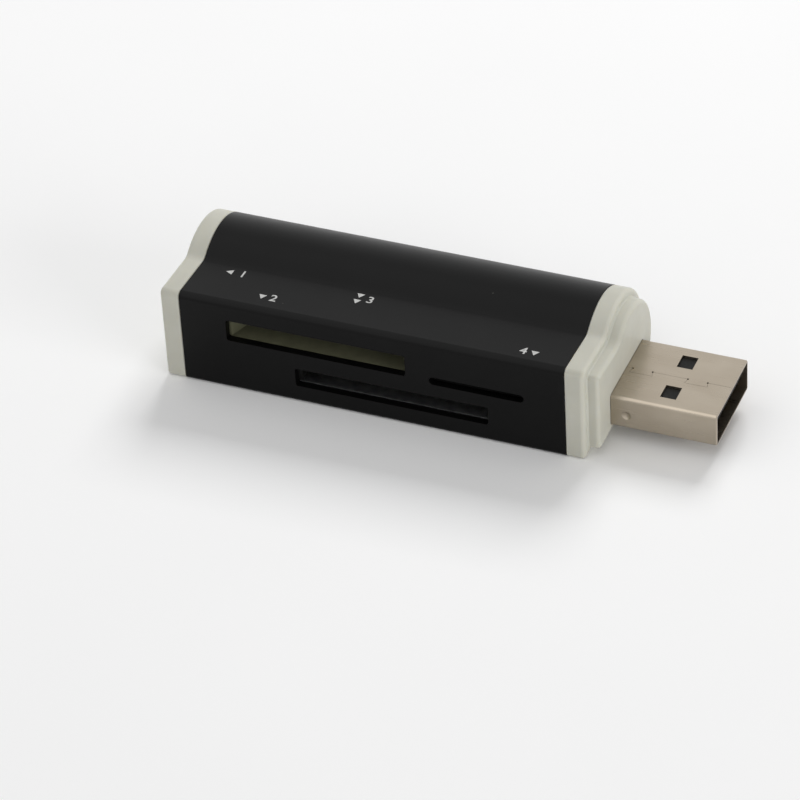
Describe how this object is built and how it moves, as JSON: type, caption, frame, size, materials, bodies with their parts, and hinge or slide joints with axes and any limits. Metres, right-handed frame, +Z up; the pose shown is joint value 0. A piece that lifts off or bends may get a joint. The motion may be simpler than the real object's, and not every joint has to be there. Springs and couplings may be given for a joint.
{
  "type": "usb memory card reader",
  "caption": "Stick-shaped memory card reader: black slotted metal sleeve with a shelf and round back, off-white end caps and a fixed USB plug.",
  "frame": {"origin": "middle of the sleeve's flat base, on the surface it rests on", "axes": "+X along the body towards the plug, -Y the slotted front face, +Z up"},
  "size_m": [0.07, 0.0215, 0.0146],
  "materials": {
    "black_anodised_aluminium": "satin black anodised extrusion",
    "off_white_plastic": "moulded, soft satin, slightly waxy",
    "nickel_plated_steel": "rolled sheet, nickel plated",
    "black_plastic": "moulded glass-filled nylon",
    "gold_plated_bronze": "gold flash on spring bronze",
    "solder_mask": "green solder mask on glass epoxy",
    "chip_resin": "moulded epoxy",
    "crystal_can": "plated metal lid on ceramic",
    "ceramic": "fired ceramic with tinned ends",
    "resistor_film": "coated ceramic with tinned ends",
    "lamp_resin": "clear yellowish resin"
  },
  "bodies": {
    "root": {"capacitor_1": "ceramic", "capacitor_2": "ceramic", "capacitor_3": "ceramic", "capacitor_4": "ceramic", "circuit_board": "solder_mask", "controller_chip": "chip_resin", "crystal": "crystal_can", "end_card_contacts": "gold_plated_bronze", "end_card_cover": "nickel_plated_steel", "end_card_socket": "black_plastic", "front_end_cap": "off_white_plastic", "indicator_led": "lamp_resin", "large_card_contact_1": "gold_plated_bronze", "large_card_contact_2": "gold_plated_bronze", "large_card_contact_3": "gold_plated_bronze", "large_card_contact_4": "gold_plated_bronze", "large_card_contact_5": "gold_plated_bronze", "large_card_contact_6": "gold_plated_bronze", "large_card_contact_7": "gold_plated_bronze", "large_card_contact_8": "gold_plated_bronze", "large_card_contact_9": "gold_plated_bronze", "large_card_cover": "nickel_plated_steel", "large_card_socket": "black_plastic", "medium_card_contact_1": "gold_plated_bronze", "medium_card_contact_10": "gold_plated_bronze", "medium_card_contact_2": "gold_plated_bronze", "medium_card_contact_3": "gold_plated_bronze", "medium_card_contact_4": "gold_plated_bronze", "medium_card_contact_5": "gold_plated_bronze", "medium_card_contact_6": "gold_plated_bronze", "medium_card_contact_7": "gold_plated_bronze", "medium_card_contact_8": "gold_plated_bronze", "medium_card_contact_9": "gold_plated_bronze", "medium_card_socket": "off_white_plastic", "rear_end_cap": "off_white_plastic", "resistor_1": "resistor_film", "resistor_2": "resistor_film", "sleeve": "black_anodised_aluminium", "small_card_contact_1": "gold_plated_bronze", "small_card_contact_2": "gold_plated_bronze", "small_card_contact_3": "gold_plated_bronze", "small_card_contact_4": "gold_plated_bronze", "small_card_contact_5": "gold_plated_bronze", "small_card_contact_6": "gold_plated_bronze", "small_card_contact_7": "gold_plated_bronze", "small_card_contact_8": "gold_plated_bronze", "small_card_cover": "nickel_plated_steel", "small_card_socket": "black_plastic", "usb_contact_1": "gold_plated_bronze", "usb_contact_2": "gold_plated_bronze", "usb_contact_3": "gold_plated_bronze", "usb_contact_4": "gold_plated_bronze", "usb_shell": "nickel_plated_steel", "usb_tongue": "black_plastic"}
  },
  "joints": []
}
